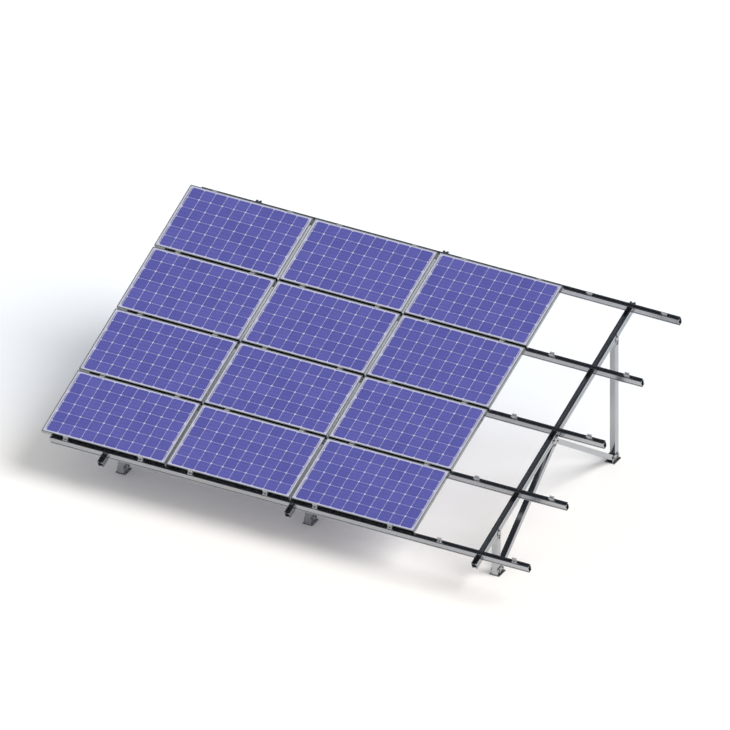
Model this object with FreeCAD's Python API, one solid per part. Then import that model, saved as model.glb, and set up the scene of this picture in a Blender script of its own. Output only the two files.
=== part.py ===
import FreeCAD, Part
import math
import os

Vector = FreeCAD.Vector

# Driving dimensions, in millimetres and degrees.

# Layout of the tilted plane that the modules lie in.
tilt_deg = 20.0
front_rail_top = 569.5
rows = 4
columns = 4
filled_columns = 3
row_gap = 26.0
column_gap = 24.0
seat_gap = 0.2

# Framed module.
module_length = 1650.0
module_width = 992.0
module_depth = 40.0
frame_wall = 2.0
frame_lip_width = 11.0
frame_lip_thickness = 1.6
frame_flange_width = 30.0
mitre_gap = 0.3
laminate_thickness = 5.0
laminate_clearance = 0.3

# Junction box under the laminate, near the module's upper long side.
box_width = 150.0
box_height = 100.0
box_depth = 22.0
box_corner = 12.0
box_edge_distance = 70.0
box_rim = 6.0
box_lid_step = 4.0
gland_radius = 8.0
gland_length = 14.0
gland_bore = 3.5
gland_bore_depth = 10.0
gland_spacing = 60.0

# Cross rails: slotted top, one groove low on each side.
rail_end_setback = 122.0
rail_width = 60.0
rail_height = 95.0
rail_wall = 2.5
rail_slot_opening = 16.0
rail_slot_lip = 3.0
rail_slot_width = 30.0
rail_slot_depth = 14.0
rail_groove_height = 12.0
rail_groove_depth = 10.0
rail_groove_from_bottom = 13.0

# Rafters: slotted top and bottom, one groove at the middle of each side.
support_spacing = 2510.0
rafter_length = 4316.0
rafter_front_overhang = 116.0
rafter_width = 73.0
rafter_height = 80.0
rafter_wall = 3.0
rafter_slot_opening = 22.0
rafter_slot_lip = 4.0
rafter_slot_width = 44.0
rafter_slot_depth = 16.0
rafter_groove_height = 8.0
rafter_groove_depth = 3.0

# Legs, measured from the front rail's centre line.
front_leg_y = 495.0
rear_leg_y = 3497.0
leg_depth = 90.0
leg_wall = 3.0
leg_corner = 5.0

# Braces with rounded, open ends.
brace_depth = 65.0
brace_wall = 3.0
brace_side_clearance = 0.4

# Forked plates that grip a member from both sides.
fork_clearance = 0.5
fork_plate = 5.0

# Leg head: fork over the rafter, tapering to a round tip.
head_skirt = 75.0
head_skirt_margin = 2.0
head_tip_radius = 17.0
head_tip_rise = 14.0
saddle_length = 96.0
saddle_thickness = 5.0

# Brace hanger under the middle of the rafter, measured from the front rail's centre line.
hanger_y = 1950.0
hanger_pivot_spacing = 72.0
hanger_pivot_clearance = 4.0
hanger_end_radius = 26.0
hanger_top_corner = 14.0
hanger_rise = 46.0

# Foot shoe.
shoe_plate = 8.0
shoe_width = 136.0
shoe_ear = 8.0
shoe_ear_height = 92.0
shoe_ear_radius = 34.0
shoe_pivot_height = 60.0
shoe_pivot_gap = 4.0
shoe_end_margin = 8.0
shoe_plate_corner = 8.0
anchor_hole = 11.0

# Module clamps on the rails.
clamp_inset = 322.0
clamp_length = 60.0
clamp_sheet = 3.5
clamp_grip = 14.0
clamp_side_clearance = 1.0
clamp_toe = 18.0

# Angle clips that hold the rails to the rafters.
clip_length = 60.0
clip_foot = 34.0
clip_upright = 42.0
clip_sheet = 4.0

# Values worked out from the driving dimensions.
tilt = math.radians(tilt_deg)
rail_pitch = module_width + row_gap
column_pitch = module_length + column_gap
array_length = columns * module_length + (columns - 1) * column_gap
rail_length = array_length - 2 * rail_end_setback
rafter_top = -rail_height - seat_gap
rafter_bottom = rafter_top - rafter_height
fork_half = rafter_width / 2 + fork_clearance
support_sides = {"left": -1, "middle": 0, "right": 1}


def plane_to_world(shape):
    """Turns a shape drawn in the module plane (x, up-slope, normal) to its real place."""
    placed = shape.copy()
    placed.rotate(Vector(0, 0, 0), Vector(1, 0, 0), tilt_deg)
    placed.translate(Vector(0, 0, front_rail_top))
    return placed


def world_point(along, normal):
    """World (y, z) of a point of the module plane."""
    y = along * math.cos(tilt) - normal * math.sin(tilt)
    z = front_rail_top + along * math.sin(tilt) + normal * math.cos(tilt)
    return y, z


def along_at(y, normal):
    """Up-slope distance at which the plane at this normal height stands over world y."""
    return (y + normal * math.sin(tilt)) / math.cos(tilt)


def polygon_face(outer, holes=()):
    """Flat face from closed lists of 3-D points, with holes."""
    rims = [Part.makePolygon(list(points) + [points[0]]) for points in (outer, *holes)]
    face = Part.Face(rims[0])
    for rim in rims[1:]:
        face = face.cut(Part.Face(rim)).Faces[0]
    return face


def mirrored(half):
    """Closed outline from the points of its right half, listed from bottom to top."""
    return half + [(-a, b) for a, b in reversed(half)]


def slotted_section(width, height, wall, slot, groove, slot_below):
    """Hollow section with an undercut slot on top, side grooves and an optional slot below.

    Points are (across, up) with the top face at zero. Returns the outline and the hollow.
    """
    opening, lip, slot_width, slot_depth = slot
    groove_low, groove_height, groove_depth = groove
    half = width / 2
    low = -height
    groove_top = groove_low + groove_height
    right = []
    if slot_below:
        right += [(slot_width / 2, low + slot_depth), (slot_width / 2, low + lip)]
        right += [(opening / 2, low + lip), (opening / 2, low)]
    right += [(half, low), (half, groove_low), (half - groove_depth, groove_low)]
    right += [(half - groove_depth, groove_top), (half, groove_top), (half, 0.0)]
    right += [(opening / 2, 0.0), (opening / 2, -lip)]
    right += [(slot_width / 2, -lip), (slot_width / 2, -slot_depth)]
    floor = low + wall
    if slot_below:
        floor = low + slot_depth + wall
    roof = -slot_depth - wall
    inner = half - wall
    waist = inner - groove_depth
    hollow = [(inner, floor), (inner, groove_low - wall), (waist, groove_low - wall)]
    hollow += [(waist, groove_top + wall), (inner, groove_top + wall), (inner, roof)]
    return mirrored(right), mirrored(hollow)


def rail():
    """One cross rail along x, its top face at normal zero and its axis at along zero."""
    slot = (rail_slot_opening, rail_slot_lip, rail_slot_width, rail_slot_depth)
    groove_low = -rail_height + rail_groove_from_bottom
    groove = (groove_low, rail_groove_height, rail_groove_depth)
    outline, hollow = slotted_section(rail_width, rail_height, rail_wall, slot, groove, False)
    start = -rail_length / 2
    rims = [[Vector(start, a, b) for a, b in points] for points in (outline, hollow)]
    return polygon_face(rims[0], rims[1:]).extrude(Vector(rail_length, 0, 0))


def rafter():
    """One sloping rafter along the slope, drawn in the module plane."""
    slot = (rafter_slot_opening, rafter_slot_lip, rafter_slot_width, rafter_slot_depth)
    groove_low = -(rafter_height + rafter_groove_height) / 2
    groove = (groove_low, rafter_groove_height, rafter_groove_depth)
    outline, hollow = slotted_section(rafter_width, rafter_height, rafter_wall, slot, groove, True)
    start = -rafter_front_overhang
    rims = [[Vector(a, start, rafter_top + b) for a, b in points] for points in (outline, hollow)]
    return polygon_face(rims[0], rims[1:]).extrude(Vector(0, rafter_length, 0))


def rounded_tube_section(width, depth, corner, wall, z):
    """Rectangular tube section with round corners, lying flat at height z."""
    outer = rounded_rectangle(width, depth, corner, z)
    inner_corner = max(corner - wall, corner / 4)
    inner = rounded_rectangle(width - 2 * wall, depth - 2 * wall, inner_corner, z)
    return outer.cut(inner).Faces[0]


def rounded_rectangle(width, depth, corner, z):
    """Flat face of a rectangle with round corners, centred on the z axis."""
    edges = []
    a = width / 2 - corner
    b = depth / 2 - corner
    centres = [(a, b), (-a, b), (-a, -b), (a, -b)]
    arcs = []
    for turn, (x, y) in enumerate(centres):
        points = []
        for step in (0, 1, 2):
            angle = math.radians(90 * turn + 45 * step)
            points.append(Vector(x + corner * math.cos(angle), y + corner * math.sin(angle), z))
        arcs.append(Part.Arc(*points).toShape())
    for index, arc in enumerate(arcs):
        following = arcs[(index + 1) % len(arcs)]
        start = arc.Vertexes[-1].Point
        end = following.Vertexes[0].Point
        edges += [arc, Part.LineSegment(start, end).toShape()]
    return Part.Face(Part.Wire(edges))


def leg(y):
    """Upright tube from the shoe's plate to the rafter's saddle, cut to the slope on top."""
    foot = shoe_plate + seat_gap
    section = rounded_tube_section(rafter_width, leg_depth, leg_corner, leg_wall, foot)
    reach = world_point(along_at(y, rafter_top), rafter_top)[1]
    tube = section.extrude(Vector(0, 0, reach - foot))
    tube.translate(Vector(0, y, 0))
    saddle_under = rafter_bottom - 2 * seat_gap - saddle_thickness
    block = Part.makeBox(2 * rafter_width, 4 * leg_depth, 4 * leg_depth)
    block.translate(Vector(-rafter_width, along_at(y, saddle_under) - 2 * leg_depth, saddle_under))
    return tube.cut(plane_to_world(block)).Solids[0]


def capsule(start, end, radius):
    """Face in the plane x = 0 around a straight line from start to end, with round ends."""
    run = Vector(0, end[0] - start[0], end[1] - start[1])
    run.normalize()
    side = Vector(0, -run.z, run.y) * radius
    tip = run * radius
    first = Vector(0, *start)
    last = Vector(0, *end)
    edges = [
        Part.LineSegment(first - side, last - side).toShape(),
        Part.Arc(last - side, last + tip, last + side).toShape(),
        Part.LineSegment(last + side, first + side).toShape(),
        Part.Arc(first + side, first - tip, first - side).toShape(),
    ]
    return Part.Face(Part.Wire(edges))


def brace(foot_pivot, top_pivot):
    """Square tube between two pivots: side walls rounded about them, ends left open."""
    width = rafter_width - 2 * brace_side_clearance
    body = capsule(foot_pivot, top_pivot, brace_depth / 2).extrude(Vector(width, 0, 0))
    body.translate(Vector(-width / 2, 0, 0))
    run = Vector(0, top_pivot[0] - foot_pivot[0], top_pivot[1] - foot_pivot[1])
    slope = math.degrees(math.atan2(run.z, run.y))
    bore_width = width - 2 * brace_wall
    bore_depth = brace_depth - 2 * brace_wall
    bore = Part.makeBox(bore_width, run.Length + 2 * brace_depth, bore_depth)
    bore.translate(Vector(-bore_width / 2, -brace_depth, -bore_depth / 2))
    bore.rotate(Vector(0, 0, 0), Vector(1, 0, 0), slope)
    bore.translate(Vector(0, *foot_pivot))
    return body.cut(bore).Solids[0]


def tangent_point(corner, centre, radius, side):
    """Point where a line from corner touches a circle, on its right (1) or left (-1)."""
    away = math.atan2(corner[1] - centre[1], corner[0] - centre[0])
    reach = math.hypot(corner[0] - centre[0], corner[1] - centre[1])
    angle = away + side * math.acos(radius / reach)
    return centre[0] + radius * math.cos(angle), centre[1] + radius * math.sin(angle)


def head_ear(y):
    """Face of a leg head's side plate: straight skirt on the leg, round tip on the rafter."""
    half = leg_depth / 2 - head_skirt_margin
    tip_normal = rafter_bottom + rafter_height / 2 + head_tip_rise
    tip = world_point(along_at(y, tip_normal), tip_normal)
    under = world_point(along_at(y, rafter_bottom), rafter_bottom)[1]
    shoulder = under - half * math.tan(tilt)
    right = tangent_point((y + half, shoulder), tip, head_tip_radius, 1)
    left = tangent_point((y - half, shoulder), tip, head_tip_radius, -1)
    summit = (tip[0], tip[1] + head_tip_radius)
    skirt = under - head_skirt
    flat = [left, (y - half, shoulder), (y - half, skirt), (y + half, skirt), (y + half, shoulder), right]
    edges = [Part.makePolygon([Vector(0, *point) for point in flat])]
    edges.append(Part.Arc(Vector(0, *right), Vector(0, *summit), Vector(0, *left)).toShape())
    return Part.Face(Part.Wire([edge for item in edges for edge in item.Edges]))


def saddle(along, length):
    """Flat plate under the rafter that joins the two side plates of a fork."""
    width = 2 * (fork_half + fork_plate)
    plate = Part.makeBox(width, length, saddle_thickness)
    top = rafter_bottom - seat_gap
    plate.translate(Vector(-width / 2, along - length / 2, top - saddle_thickness))
    return plane_to_world(plate)


def forked(ear_face, thickness, half_gap):
    """The same side plate on both sides of a member, as two solids."""
    right = ear_face.extrude(Vector(thickness, 0, 0))
    left = right.copy()
    right.translate(Vector(half_gap, 0, 0))
    left.translate(Vector(-half_gap - thickness, 0, 0))
    return [left, right]


def leg_head(y):
    """Fork that stands on a leg and grips the rafter from both sides."""
    plates = forked(head_ear(y), fork_plate, fork_half)
    centre = along_at(y, rafter_bottom)
    return saddle(centre, saddle_length).fuse(plates).removeSplitter().Solids[0]


def hanger_pivots():
    """World (y, z) of the two brace bolts under the middle of the rafter."""
    radius = brace_depth / 2
    normal = rafter_bottom - 2 * seat_gap - saddle_thickness - hanger_pivot_clearance - radius
    middle = along_at(hanger_y, normal)
    front = world_point(middle - hanger_pivot_spacing / 2, normal)
    rear = world_point(middle + hanger_pivot_spacing / 2, normal)
    return front, rear, middle, normal


def brace_hanger():
    """Fork that hangs from the rafter and holds the tops of both braces."""
    middle, normal = hanger_pivots()[2:]
    radius = hanger_end_radius
    half = hanger_pivot_spacing / 2
    top = rafter_bottom + hanger_rise
    corner = hanger_top_corner
    low = normal - radius
    bend = radius * math.sqrt(0.5)
    slant = corner * math.sqrt(0.5)

    def at(along, up):
        return Vector(0, middle + along, up)

    def line(start, end):
        return Part.LineSegment(at(*start), at(*end)).toShape()

    outer = half + radius
    edges = [
        line((-half, low), (half, low)),
        Part.Arc(at(half, low), at(half + bend, normal - bend), at(outer, normal)).toShape(),
        line((outer, normal), (outer, top - corner)),
        Part.Arc(at(outer, top - corner), at(outer - corner + slant, top - corner + slant),
                 at(outer - corner, top)).toShape(),
        line((outer - corner, top), (corner - outer, top)),
        Part.Arc(at(corner - outer, top), at(corner - outer - slant, top - corner + slant),
                 at(-outer, top - corner)).toShape(),
        line((-outer, top - corner), (-outer, normal)),
        Part.Arc(at(-outer, normal), at(-half - bend, normal - bend), at(-half, low)).toShape(),
    ]
    ear = Part.Face(Part.Wire(edges))
    plates = [plane_to_world(plate) for plate in forked(ear, fork_plate, fork_half)]
    web = saddle(middle, 2 * outer - 2 * corner)
    return web.fuse(plates).removeSplitter().Solids[0]


def shoe_pivot(y, toward):
    """World (y, z) of a brace bolt in a shoe; toward is +1 when the brace leans back."""
    offset = leg_depth / 2 + shoe_pivot_gap + brace_depth / 2
    return y + toward * offset, shoe_pivot_height


def anchor_offset():
    """Distance of an anchor hole from the shoe's centre line, on the outer flange."""
    ear_outside = fork_half + shoe_ear
    return (ear_outside + shoe_width / 2) / 2


def shoe_centre(y, toward):
    """World y of the middle of a shoe, which holds the leg and the end of one brace."""
    leg_face = y - toward * leg_depth / 2
    brace_end = shoe_pivot(y, toward)[0] + toward * brace_depth / 2
    return (leg_face + brace_end) / 2


def shoe_length():
    """Length of a shoe: leg, gap and rounded brace end, with a margin at both ends."""
    return leg_depth + shoe_pivot_gap + brace_depth + 2 * shoe_end_margin


def shoe(y, toward):
    """Foot with a drilled base plate and two round-topped ears."""
    length = shoe_length()
    plate = rounded_rectangle(shoe_width, length, shoe_plate_corner, 0).extrude(Vector(0, 0, shoe_plate))
    for side in (-1, 1):
        hole = Part.makeCylinder(anchor_hole / 2, shoe_plate, Vector(side * anchor_offset(), 0, 0))
        plate = plate.cut(hole)
    half = length / 2 - shoe_end_margin
    radius = shoe_ear_radius
    bend = radius * math.sqrt(0.5)
    top = shoe_ear_height
    flank = top - radius
    edges = [
        Part.makePolygon([Vector(0, -half, flank), Vector(0, -half, 0), Vector(0, half, 0), Vector(0, half, flank)]),
        Part.Arc(Vector(0, half, flank), Vector(0, half - radius + bend, flank + bend),
                 Vector(0, half - radius, top)).toShape(),
        Part.LineSegment(Vector(0, half - radius, top), Vector(0, radius - half, top)).toShape(),
        Part.Arc(Vector(0, radius - half, top), Vector(0, radius - half - bend, flank + bend),
                 Vector(0, -half, flank)).toShape(),
    ]
    ear = Part.Face(Part.Wire([edge for item in edges for edge in item.Edges]))
    ears = forked(ear, shoe_ear, fork_half)
    whole = plate.fuse(ears).removeSplitter().Solids[0]
    whole.translate(Vector(0, shoe_centre(y, toward), 0))
    return whole


def module_centre(row, column):
    """Centre of a module in the plane, for rows counted from the low edge and columns from the left."""
    x = -array_length / 2 + module_length / 2 + column * column_pitch
    along = (row + 0.5) * rail_pitch
    return x, along


def channel_levels():
    """Normal heights of the groove that holds the laminate: lip underside and shelf top."""
    lip_under = module_depth - frame_lip_thickness
    shelf_top = lip_under - laminate_thickness - 2 * laminate_clearance
    return lip_under, shelf_top


def frame_bar(length, reach):
    """One mitred frame bar along x, its outer face at distance reach from the centre."""
    lip_under, shelf_top = channel_levels()
    wall = frame_wall
    lip = frame_lip_width
    section = [
        (0.0, 0.0), (frame_flange_width, 0.0), (frame_flange_width, wall), (wall, wall),
        (wall, shelf_top - wall), (lip, shelf_top - wall), (lip, shelf_top), (wall, shelf_top),
        (wall, lip_under), (lip, lip_under), (lip, module_depth), (0.0, module_depth),
    ]
    ends = []
    for side in (-1, 1):
        points = []
        for inward, up in section:
            points.append(Vector(side * (length / 2 - inward - mitre_gap), inward - reach, up))
        ends.append(Part.makePolygon(points + [points[0]]))
    return Part.makeLoft(ends, True, True)


def module_frame(row, column):
    """Four mitred bars around one module, lying on the rails."""
    x, along = module_centre(row, column)
    bars = []
    for turn in range(4):
        length, reach = (module_length, module_width / 2)
        if turn % 2:
            length, reach = (module_width, module_length / 2)
        bar = frame_bar(length, reach)
        bar.rotate(Vector(0, 0, 0), Vector(0, 0, 1), 90 * turn)
        bar.translate(Vector(x, along, seat_gap))
        bars.append(plane_to_world(bar))
    return bars


def laminate(row, column):
    """Glass sheet with its cells, held in the frame's groove."""
    x, along = module_centre(row, column)
    margin = 2 * (frame_wall + laminate_clearance)
    sheet = Part.makeBox(module_length - margin, module_width - margin, laminate_thickness)
    base = channel_levels()[1] + laminate_clearance + seat_gap
    sheet.translate(Vector(x - module_length / 2 + margin / 2, along - module_width / 2 + margin / 2, base))
    return plane_to_world(sheet)


def gland(level):
    """Cable gland pointing down the slope from y = 0, with a blind bore, its axis at this height."""
    body = Part.makeCylinder(gland_radius, gland_length, Vector(0, 0, level), Vector(0, -1, 0))
    mouth = Vector(0, -gland_length, level)
    return body.cut(Part.makeCylinder(gland_bore, gland_bore_depth, mouth, Vector(0, 1, 0)))


def junction_box(row, column):
    """Shallow box with a stepped lid under the laminate and two cable glands on its lower side."""
    x, along = module_centre(row, column)
    under = channel_levels()[1] + laminate_clearance
    rim_depth = box_depth - box_lid_step
    body = rounded_rectangle(box_width, box_height, box_corner, 0).extrude(Vector(0, 0, -rim_depth))
    lid = rounded_rectangle(box_width - 2 * box_rim, box_height - 2 * box_rim, box_corner, -rim_depth)
    pieces = [lid.extrude(Vector(0, 0, -box_lid_step))]
    for side in (-1, 1):
        inlet = gland(-rim_depth / 2)
        inlet.translate(Vector(side * gland_spacing / 2, -box_height / 2, 0))
        pieces.append(inlet)
    whole = body.fuse(pieces).removeSplitter().Solids[0]
    centre = along + module_width / 2 - box_edge_distance - box_height / 2
    whole.translate(Vector(x, centre, under))
    return plane_to_world(whole)


def clamp_section(sides):
    """Outline (along, normal) of a clamp: a channel with a grip on each side named in sides."""
    wall = row_gap / 2 - clamp_side_clearance
    grip = row_gap / 2 + clamp_grip
    over = module_depth + 2 * seat_gap
    sheet = clamp_sheet
    low = seat_gap

    def flank(side):
        if side in sides:
            return [(wall, low), (wall, over), (grip, over), (grip, over + sheet),
                    (wall - sheet, over + sheet), (wall - sheet, low + sheet)]
        return [(clamp_toe, low), (clamp_toe, low + sheet)]

    right = flank(1)
    left = [(-a, b) for a, b in reversed(flank(-1))]
    return right + left


def clamp(row_line, x):
    """One clamp on the rail of this row line, at this x."""
    sides = {0: (1,), rows: (-1,)}.get(row_line, (-1, 1))
    outline = [Vector(x - clamp_length / 2, row_line * rail_pitch + a, b) for a, b in clamp_section(sides)]
    return plane_to_world(polygon_face(outline).extrude(Vector(clamp_length, 0, 0)))


def clamp_places():
    """X of every clamp on a rail: two for each module column, the empty one too."""
    places = []
    for column in range(columns):
        x = module_centre(0, column)[0]
        reach = module_length / 2 - clamp_inset
        places += [x - reach, x + reach]
    return places


def rail_clip(row_line, x):
    """Angle clip on the uphill side of a rail, resting on the rafter."""
    heel = row_line * rail_pitch + rail_width / 2 + seat_gap
    low = rafter_top + seat_gap
    outline = [
        (heel, low), (heel + clip_foot, low), (heel + clip_foot, low + clip_sheet),
        (heel + clip_sheet, low + clip_sheet), (heel + clip_sheet, low + clip_upright), (heel, low + clip_upright),
    ]
    points = [Vector(x - clip_length / 2, a, b) for a, b in outline]
    return plane_to_world(polygon_face(points).extrude(Vector(clip_length, 0, 0)))


def moved(shape, x):
    """Copy of a shape at another place across the array."""
    placed = shape.copy()
    placed.translate(Vector(x, 0, 0))
    return placed


def build_supports():
    """The three support frames: shoes, legs, braces, forks and rafters."""
    nodes = {}
    front_top, rear_top = hanger_pivots()[:2]
    front_foot = shoe(front_leg_y, 1)
    rear_foot = shoe(rear_leg_y, -1)
    front_brace = brace(shoe_pivot(front_leg_y, 1), front_top)
    rear_brace = brace(shoe_pivot(rear_leg_y, -1), rear_top)
    forks = [leg_head(front_leg_y), brace_hanger(), leg_head(rear_leg_y)]
    front_leg = leg(front_leg_y)
    rear_leg = leg(rear_leg_y)
    beam = plane_to_world(rafter())
    for name, side in support_sides.items():
        x = side * support_spacing
        nodes["front_foot_" + name] = [moved(front_foot, x)]
        nodes["rear_foot_" + name] = [moved(rear_foot, x)]
        nodes["front_leg_" + name] = [moved(front_leg, x)]
        nodes["rear_leg_" + name] = [moved(rear_leg, x)]
        nodes["braces_" + name] = [moved(front_brace, x), moved(rear_brace, x)]
        nodes["forks_" + name] = [moved(fork, x) for fork in forks]
        nodes["rafter_" + name] = [moved(beam, x)]
    return nodes


def build_rails():
    """Five cross rails with their clamps and the clips that hold them to the rafters."""
    nodes = {}
    inner_clamps = []
    edge_clamps = []
    clips = []
    for row_line in range(rows + 1):
        beam = rail()
        beam.translate(Vector(0, row_line * rail_pitch, 0))
        nodes["rail_%d" % (row_line + 1)] = [plane_to_world(beam)]
        clamps = [clamp(row_line, x) for x in clamp_places()]
        if row_line in (0, rows):
            edge_clamps += clamps
        else:
            inner_clamps += clamps
        clips += [rail_clip(row_line, side * support_spacing) for side in support_sides.values()]
    nodes["mid_clamps"] = inner_clamps
    nodes["end_clamps"] = edge_clamps
    nodes["rail_clips"] = clips
    return nodes


def build_modules():
    """Framed modules in the filled columns."""
    nodes = {}
    boxes = []
    for column in range(filled_columns):
        sheets = []
        for row in range(rows):
            nodes["module_frame_r%d_c%d" % (row + 1, column + 1)] = module_frame(row, column)
            sheets.append(laminate(row, column))
            boxes.append(junction_box(row, column))
        nodes["laminates_column_%d" % (column + 1)] = sheets
    nodes["junction_boxes"] = boxes
    return nodes


def write_parts():
    """Stands the whole on the ground with its origin under the middle, and writes one file a node."""
    nodes = {}
    nodes.update(build_supports())
    nodes.update(build_rails())
    nodes.update(build_modules())
    whole = Part.makeCompound([solid for solids in nodes.values() for solid in solids])
    box = whole.optimalBoundingBox(False)
    shift = Vector(-(box.XMin + box.XMax) / 2, -(box.YMin + box.YMax) / 2, -box.ZMin)
    os.makedirs("parts", exist_ok=True)
    for name, solids in nodes.items():
        shape = solids[0] if len(solids) == 1 else Part.makeCompound(solids)
        shape.translate(shift)
        shape.exportStep("parts/" + name + ".step")
    print("nodes", len(nodes), "solids", len(whole.Solids), "volume m3", round(whole.Volume / 1e9, 4))
    print("size", [round(v, 2) for v in (box.XLength, box.YLength, box.ZLength)], "shift", shift)
    print("anchor holes at x offset", anchor_offset(), "front shoe y", shoe_centre(front_leg_y, 1) + shift.y,
          "rear shoe y", shoe_centre(rear_leg_y, -1) + shift.y)


write_parts()
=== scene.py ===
import math

import bmesh
import bpy
from mathutils import Matrix, Vector


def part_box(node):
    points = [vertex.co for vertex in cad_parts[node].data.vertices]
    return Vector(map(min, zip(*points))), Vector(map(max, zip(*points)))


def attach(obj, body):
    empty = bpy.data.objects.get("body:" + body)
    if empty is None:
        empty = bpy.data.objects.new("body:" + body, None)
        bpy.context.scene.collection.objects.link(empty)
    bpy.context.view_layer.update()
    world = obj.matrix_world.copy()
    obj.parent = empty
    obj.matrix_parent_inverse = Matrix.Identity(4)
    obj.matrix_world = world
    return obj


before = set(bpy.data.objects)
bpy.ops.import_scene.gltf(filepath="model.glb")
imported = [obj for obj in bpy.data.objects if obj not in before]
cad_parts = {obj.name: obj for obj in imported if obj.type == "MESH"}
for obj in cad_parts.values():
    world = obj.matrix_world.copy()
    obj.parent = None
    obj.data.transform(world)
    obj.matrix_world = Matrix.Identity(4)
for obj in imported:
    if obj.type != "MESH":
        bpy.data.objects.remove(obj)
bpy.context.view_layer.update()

# Sizes are metres, written in millimetres, and angles are written in degrees. Fastener and cell sizes
# are those of the real products.
MM = 0.001
TILT = math.radians(20.0)

SUPPORTS = ("left", "middle", "right")
RAILS = 5
MODULE_ROWS = 4
MODULE_COLUMNS = 3

# Solar cells: ten across and six up the slope in each module.
CELLS_ACROSS = 10
CELLS_UP = 6
CELL_PITCH_X = 155.6 * MM
CELL_PITCH_Y = 155.4 * MM
CELL_GAP_X = 4.9 * MM
CELL_GAP_Y = 3.4 * MM
CELL_CORNER = 12.0 * MM
CELL_THICKNESS = 0.25 * MM
RIBBONS_PER_CELL = 3
RIBBON_WIDTH = 1.6 * MM
RIBBON_THICKNESS = 0.15 * MM
RIBBON_OVERHANG = 9.0 * MM
BUS_WIDTH = 6.0 * MM

# Hexagon bolts of the forks and shoes, and the smaller ones of the clips. A nut's height is a share
# of its width, and the end of the thread starts a little inside the nut.
BOLT_FLATS = 19.0 * MM
BOLT_HEAD = 7.5 * MM
BOLT_SHANK = 12.0 * MM
CLIP_BOLT_FLATS = 13.0 * MM
CLIP_BOLT_HEAD = 5.3 * MM
WASHER_SHARE = 1.28
WASHER_THICKNESS = 2.0 * MM
WASHER_CHAMFER = 0.3 * MM
NUT_SHARE = 0.55
THREAD_END = 6.0 * MM
THREAD_SUNK = 1.0 * MM

# Socket head bolts of the module clamps.
SOCKET_HEAD = 13.0 * MM
SOCKET_HEAD_HEIGHT = 8.0 * MM
SOCKET_ACROSS = 6.0 * MM
SOCKET_DEPTH = 4.0 * MM
SOCKET_CHAMFER = 0.7 * MM
SOCKET_WASHER_SHARE = 1.35
SOCKET_WASHER_THICKNESS = 1.6 * MM

# Places of bolts on the brackets: heights, spacings and drops from the edges of each bracket.
SHOE_PIVOT_HEIGHT = 60.0 * MM
SHOE_LEG_BOLTS = (34.0 * MM, 68.0 * MM)
HANGER_END_RADIUS = 26.0 * MM
HANGER_PIVOT_SPACING = 72.0 * MM
HANGER_UPPER_SPACING = 60.0 * MM
HANGER_UPPER_DROP = 16.0 * MM
HEAD_SKIRT_BOLTS = (18.0 * MM, 50.0 * MM)
CLIP_FOOT_BOLT = 19.0 * MM
CLIP_UPRIGHT_BOLT = 27.0 * MM
CLAMP_SHEET = 3.5 * MM

# Turns: onto the slope and back from it, a bolt to point along -x, and a bolt to point upwards.
SLOPE = Matrix.Rotation(TILT, 4, "X")
FLAT = SLOPE.inverted()
TURN_ROUND = Matrix.Rotation(math.pi, 4, "Z")
POINT_UP = Matrix.Rotation(-math.pi / 2, 4, "Y")

# Drawn finish of the extrusions: streaks along the bar, die lines across it and wide clouds.
STREAK_LENGTH = 900.0 * MM
STREAK_WIDTH = 14.0 * MM
DIE_LINE = 5.0 * MM
CLOUD_SIZE = 260.0 * MM

# View of the photograph: parallel projection, direction, scale and the point that the view is centred on.
IMAGE_SIZE = 730
PIXELS_PER_METRE = 84.209
VIEW_AZIMUTH = math.radians(27.827)
VIEW_ELEVATION = math.radians(31.006)
ORIGIN_PIXEL = (362.51, 465.29)
CAMERA_DISTANCE = 30.0

# Paper floor: how far a painted glow lifts it to the camera, and the share of painted white glow in its
# mirror image at the front and at the back of the studio, which are these distances along the way to the
# back.
FLOOR_SIZE = 120.0
FLOOR_DROP = 0.5 * MM
FLOOR_LIFT = 0.06
BACK_OF_STUDIO = (-0.466, 0.885, 0.0)
FLOOR_FRONT = -1.2
FLOOR_BACK = 2.0
REFLECTED_PAINTED_GLOW = (0.04, 0.24)

# Lamp and fill. In gloss the lamp shows only as a soft window, this wide in cosines around its direction.
FILL_STRENGTH = 0.55
KEY_STRENGTH = 2.25
KEY_AZIMUTH = math.radians(8.0)
KEY_ELEVATION = math.radians(47.5)
KEY_SPREAD = math.radians(38.0)
WINDOW_RIM = 0.82
WINDOW_HEART = 0.95

# Mirrored room: a white wall up to one height, grey above it, and a dark ceiling from the next.
WALL_TOP = 0.03
WALL_FADE = 0.12
CEILING_START = 0.3
CEILING_FRONT_Y = -0.45
CEILING_REAR_Y = 0.25
GREY_WALL = (0.2, 0.2, 0.21, 1.0)
FRONT_CEILING = (0.026, 0.028, 0.034, 1.0)
REAR_CEILING = (0.068, 0.074, 0.084, 1.0)
WHITE = (1.0, 1.0, 1.0, 1.0)


# Shading nodes

def srgb(code):
    """Linear colour with alpha from an sRGB hex code."""
    parts = [int(code[place:place + 2], 16) / 255 for place in (1, 3, 5)]
    linear = [part / 12.92 if part <= 0.04045 else ((part + 0.055) / 1.055) ** 2.4 for part in parts]
    return (*linear, 1.0)


def add(tree, kind, inputs=None, **settings):
    """Adds one node: inputs takes sockets to link or plain values, by name or number."""
    node = tree.nodes.new(kind)
    for name, value in settings.items():
        setattr(node, name, value)
    for name, value in (inputs or {}).items():
        if isinstance(value, bpy.types.NodeSocket):
            tree.links.new(value, node.inputs[name])
        else:
            node.inputs[name].default_value = value
    return node


def blank_material(name):
    """New material with an empty node tree and its output node."""
    material = bpy.data.materials.new(name)
    material.use_nodes = True
    tree = material.node_tree
    tree.nodes.clear()
    output = add(tree, "ShaderNodeOutputMaterial")
    return material, tree, output


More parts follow.
